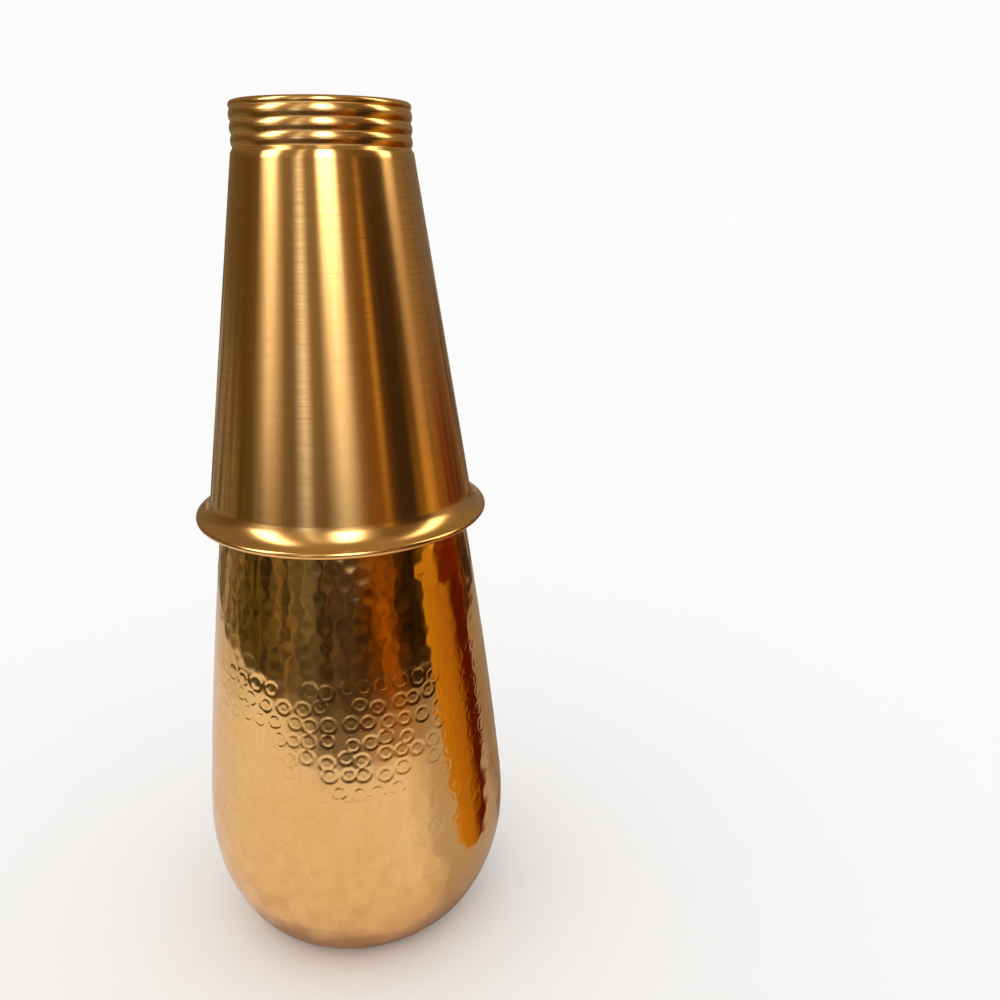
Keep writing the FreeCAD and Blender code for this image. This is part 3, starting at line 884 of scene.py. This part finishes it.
def table_finish():
    """Pale table, a little uneven, its far edge darker and warmer with a painted shadow in front of
    the jug, painted shade towards +X and a painted shadow under the bowl.
    """
    material = matt("pale_table", TABLE_TONE)
    tree = material.node_tree
    where = place_in(tree)
    stir = add_node(tree, "TexNoise", {"Vector": where, "Scale": 26.0, "Detail": 3.0})
    wobble = add_node(tree, "VectorMath", {0: stir.outputs["Color"], "Scale": WOBBLE},
                      operation="SCALE")
    moved = add_node(tree, "VectorMath", {0: where, 1: wobble.outputs[0]}, operation="ADD")
    centred = add_node(tree, "VectorMath", {0: moved.outputs[0], 1: WOBBLE_CENTRE},
                       operation="SUBTRACT").outputs[0]
    around = turn_about_jug(tree, add_node(tree, "SeparateXYZ", {"Vector": centred}))
    reach = add_node(tree, "VectorMath", {0: centred}, operation="LENGTH").outputs["Value"]
    far = spread(tree, reach, 0, 1, *TABLE_FAR)
    # near and far tones, with their painted shade and painted shadow
    plain = mix_colours(tree, far, tone_ramp(tree, around, NEAR_TONES_AND_SHADE),
                        tone_ramp(tree, around, FAR_TONES_AND_SHADOW))
    blots = cloud(tree, where, scale=60, detail=4)
    stains = spread(tree, blots, 0, STAIN_SHADE, start=0.42, end=0.68)
    stained = mix_colours(tree, stains, plain, STAIN_TONE)
    # painted shadow: the table darkens towards the bowl's foot
    contact_shadow = spread(tree, reach, CONTACT_SHADE, 0, *TABLE_CONTACT)
    tree.links.new(mix_colours(tree, contact_shadow, stained, CONTACT_SHADOW_TONE),
                   tree.nodes["Principled BSDF"].inputs["Base Color"])
    return material


def room_tones(tree, heading):
    """The colour of the room in a direction, as the copper sees it."""
    parts = add_node(tree, "SeparateXYZ", {"Vector": heading})
    around = turn_about_jug(tree, parts)
    up = parts.outputs["Z"]
    walls = tone_ramp(tree, around, WALL_TONES)
    noise = cloud(tree, heading, scale=11, detail=4)
    clutter = spread(tree, noise, low=0.1, high=1.7, start=0.38, end=0.62)
    low = add_node(tree, "VectorMath", {0: tone_ramp(tree, around, LOW_TONES), "Scale": clutter},
                   operation="SCALE").outputs[0]
    high = add_node(tree, "VectorMath", {0: tone_ramp(tree, around, HIGH_TONES),
                                         "Scale": HIGH_LIGHT}, operation="SCALE").outputs[0]
    sides = mix_colours(tree, spread(tree, up, 0, 1, *LOW_TO_WALLS), low, walls)
    upper = mix_colours(tree, spread(tree, up, 0, 1, *WALLS_TO_HIGH), sides, high)
    return mix_colours(tree, spread(tree, up, 0, 1, *HIGH_TO_CEILING), upper, CEILING_TONE)


def make_room():
    """Plain pale surroundings, with a dim warm room that only reflections see."""
    world = bpy.data.worlds.new("room")
    world.use_nodes = True
    tree = world.node_tree
    seen = room_tones(tree, add_node(tree, "TexCoord").outputs["Generated"])
    path = add_node(tree, "LightPath")
    light = mix_colours(tree, path.outputs["Is Glossy Ray"], DAYLIGHT, seen)
    colour = mix_colours(tree, path.outputs["Is Camera Ray"], light, BACKDROP)
    tree.links.new(colour, tree.nodes["Background"].inputs["Color"])
    bpy.context.scene.world = world


def make_studio():
    """The floor, what the copper reflects, and the light."""
    floor = stage_disc("floor", FLOOR_RADIUS, 0, matt("pale_floor", FLOOR_TONE))
    floor.visible_glossy = False
    reflection_only(stage_disc("table", TABLE_RADIUS, TABLE_HEIGHT, table_finish()))
    make_neighbour()
    make_room()
    bpy.context.scene.view_settings.view_transform = "Standard"


CAMERA_PLACE = (0.0504, -0.2820, 0.2443)
CAMERA_TILT = math.radians(71.23)
CAMERA_LENS, CAMERA_SENSOR = 33.3, 36.0


def make_camera():
    """The camera, in front of the jug and to its right, near the height of its top."""
    lens = bpy.data.cameras.new("camera")
    lens.lens = CAMERA_LENS
    lens.sensor_width = CAMERA_SENSOR
    holder = bpy.data.objects.new("camera", lens)
    holder.location = CAMERA_PLACE
    holder.rotation_euler = (CAMERA_TILT, 0, 0)
    bpy.context.collection.objects.link(holder)
    bpy.context.scene.camera = holder


# ------------------------------------------------------------------ build
def give(piece, *materials):
    """Put materials on a piece, the first one on all its faces."""
    piece.data.materials.clear()
    for material in materials:
        piece.data.materials.append(material)


def use_second_at_ends(tumbler):
    """The second material from the lowest bead up and from the flare down."""
    for face in tumbler.data.polygons:
        if face.center.z > RIM + BAND or face.center.z < RIM + FLARE_TOP:
            face.material_index = 1


hammered, polished, brushed = hammered_copper(), polished_copper(), brushed_copper()
satin, wire = satin_copper(), copper_wire()
give(make_bowl(), hammered)
give(make_shell(), hammered)
give(make_neck(), polished)
spun_wall = make_tumbler()
give(spun_wall, brushed, satin)
use_second_at_ends(spun_wall)
give(make_tumbler_base(), brushed)
for name in ("neck_rim_wire", "tumbler_lip_wire"):
    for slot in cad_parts[name].material_slots:
        slot.material = wire
make_studio()
make_camera()
